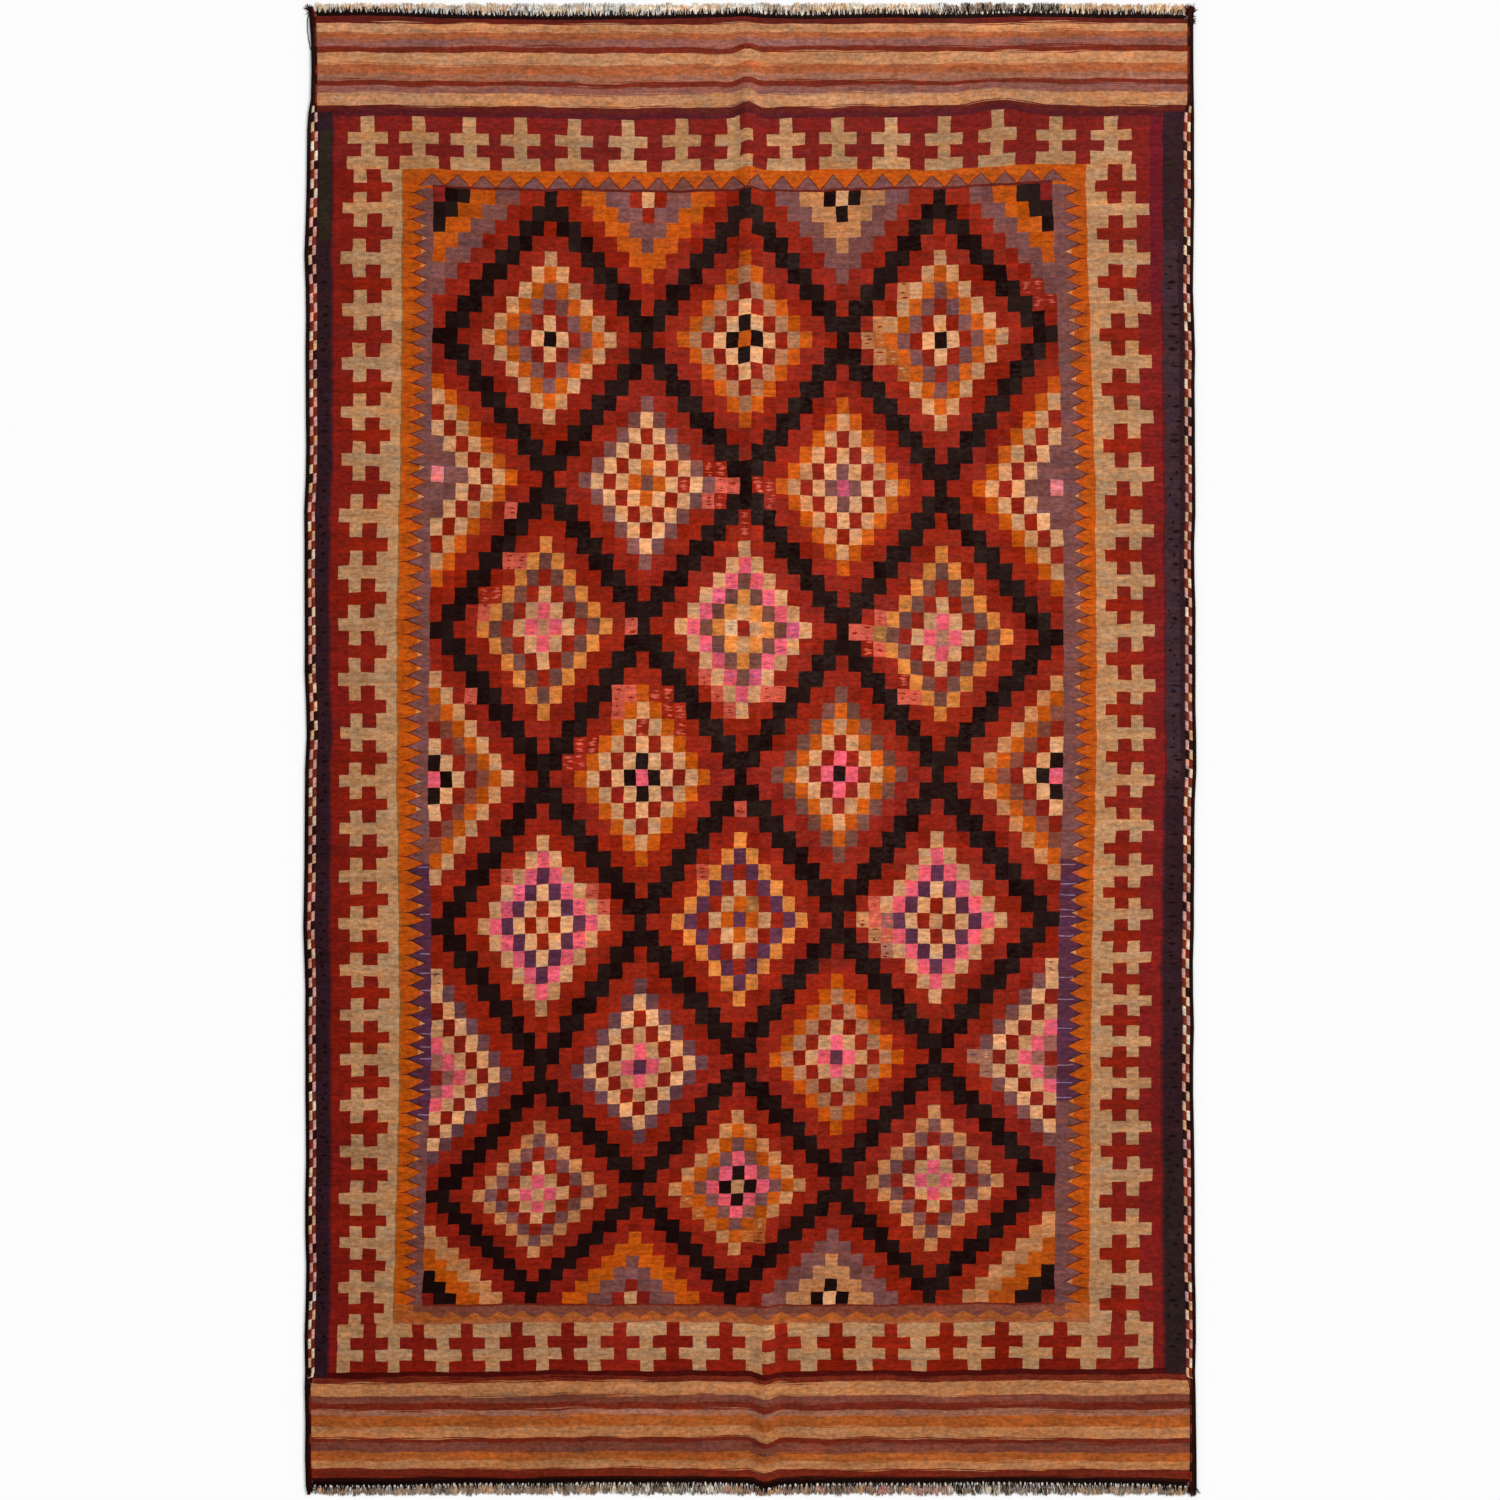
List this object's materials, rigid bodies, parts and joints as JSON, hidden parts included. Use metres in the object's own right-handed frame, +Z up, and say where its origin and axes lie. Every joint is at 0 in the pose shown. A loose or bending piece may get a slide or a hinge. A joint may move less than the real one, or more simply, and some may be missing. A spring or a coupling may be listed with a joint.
{
  "type": "kilim rug",
  "caption": "Flat-woven village kilim rug lying flat, with stepped diamonds, crosses and stripes, overcast side edges, end cords and short cut fringes, and a low lengthwise storage crease.",
  "frame": {"origin": "centre of the rug's bounding box, on the floor plane that its underside rests on", "axes": "+X across the rug, +Y along it towards the end with the ripple, +Z up from the floor through the face"},
  "size_m": [1.7868, 2.988, 0.0139],
  "materials": {
    "flatweave_wool": "matte weft-faced wool in reds, oranges, creams, purples and near-black",
    "overcast_wool": "matte wool wrapping, near-black with dark red and cream blocks",
    "twined_wool": "matte near-black twined wool",
    "warp_fringe": "matte cut yarn, cream and tan with a few pink and dark ends"
  },
  "bodies": {
    "root": {"woven_sheet": "flatweave_wool", "selvedge_left": "overcast_wool", "selvedge_right": "overcast_wool", "end_cord_top": "twined_wool", "end_cord_bottom": "twined_wool", "fringe_top": "warp_fringe", "fringe_bottom": "warp_fringe"}
  },
  "joints": []
}
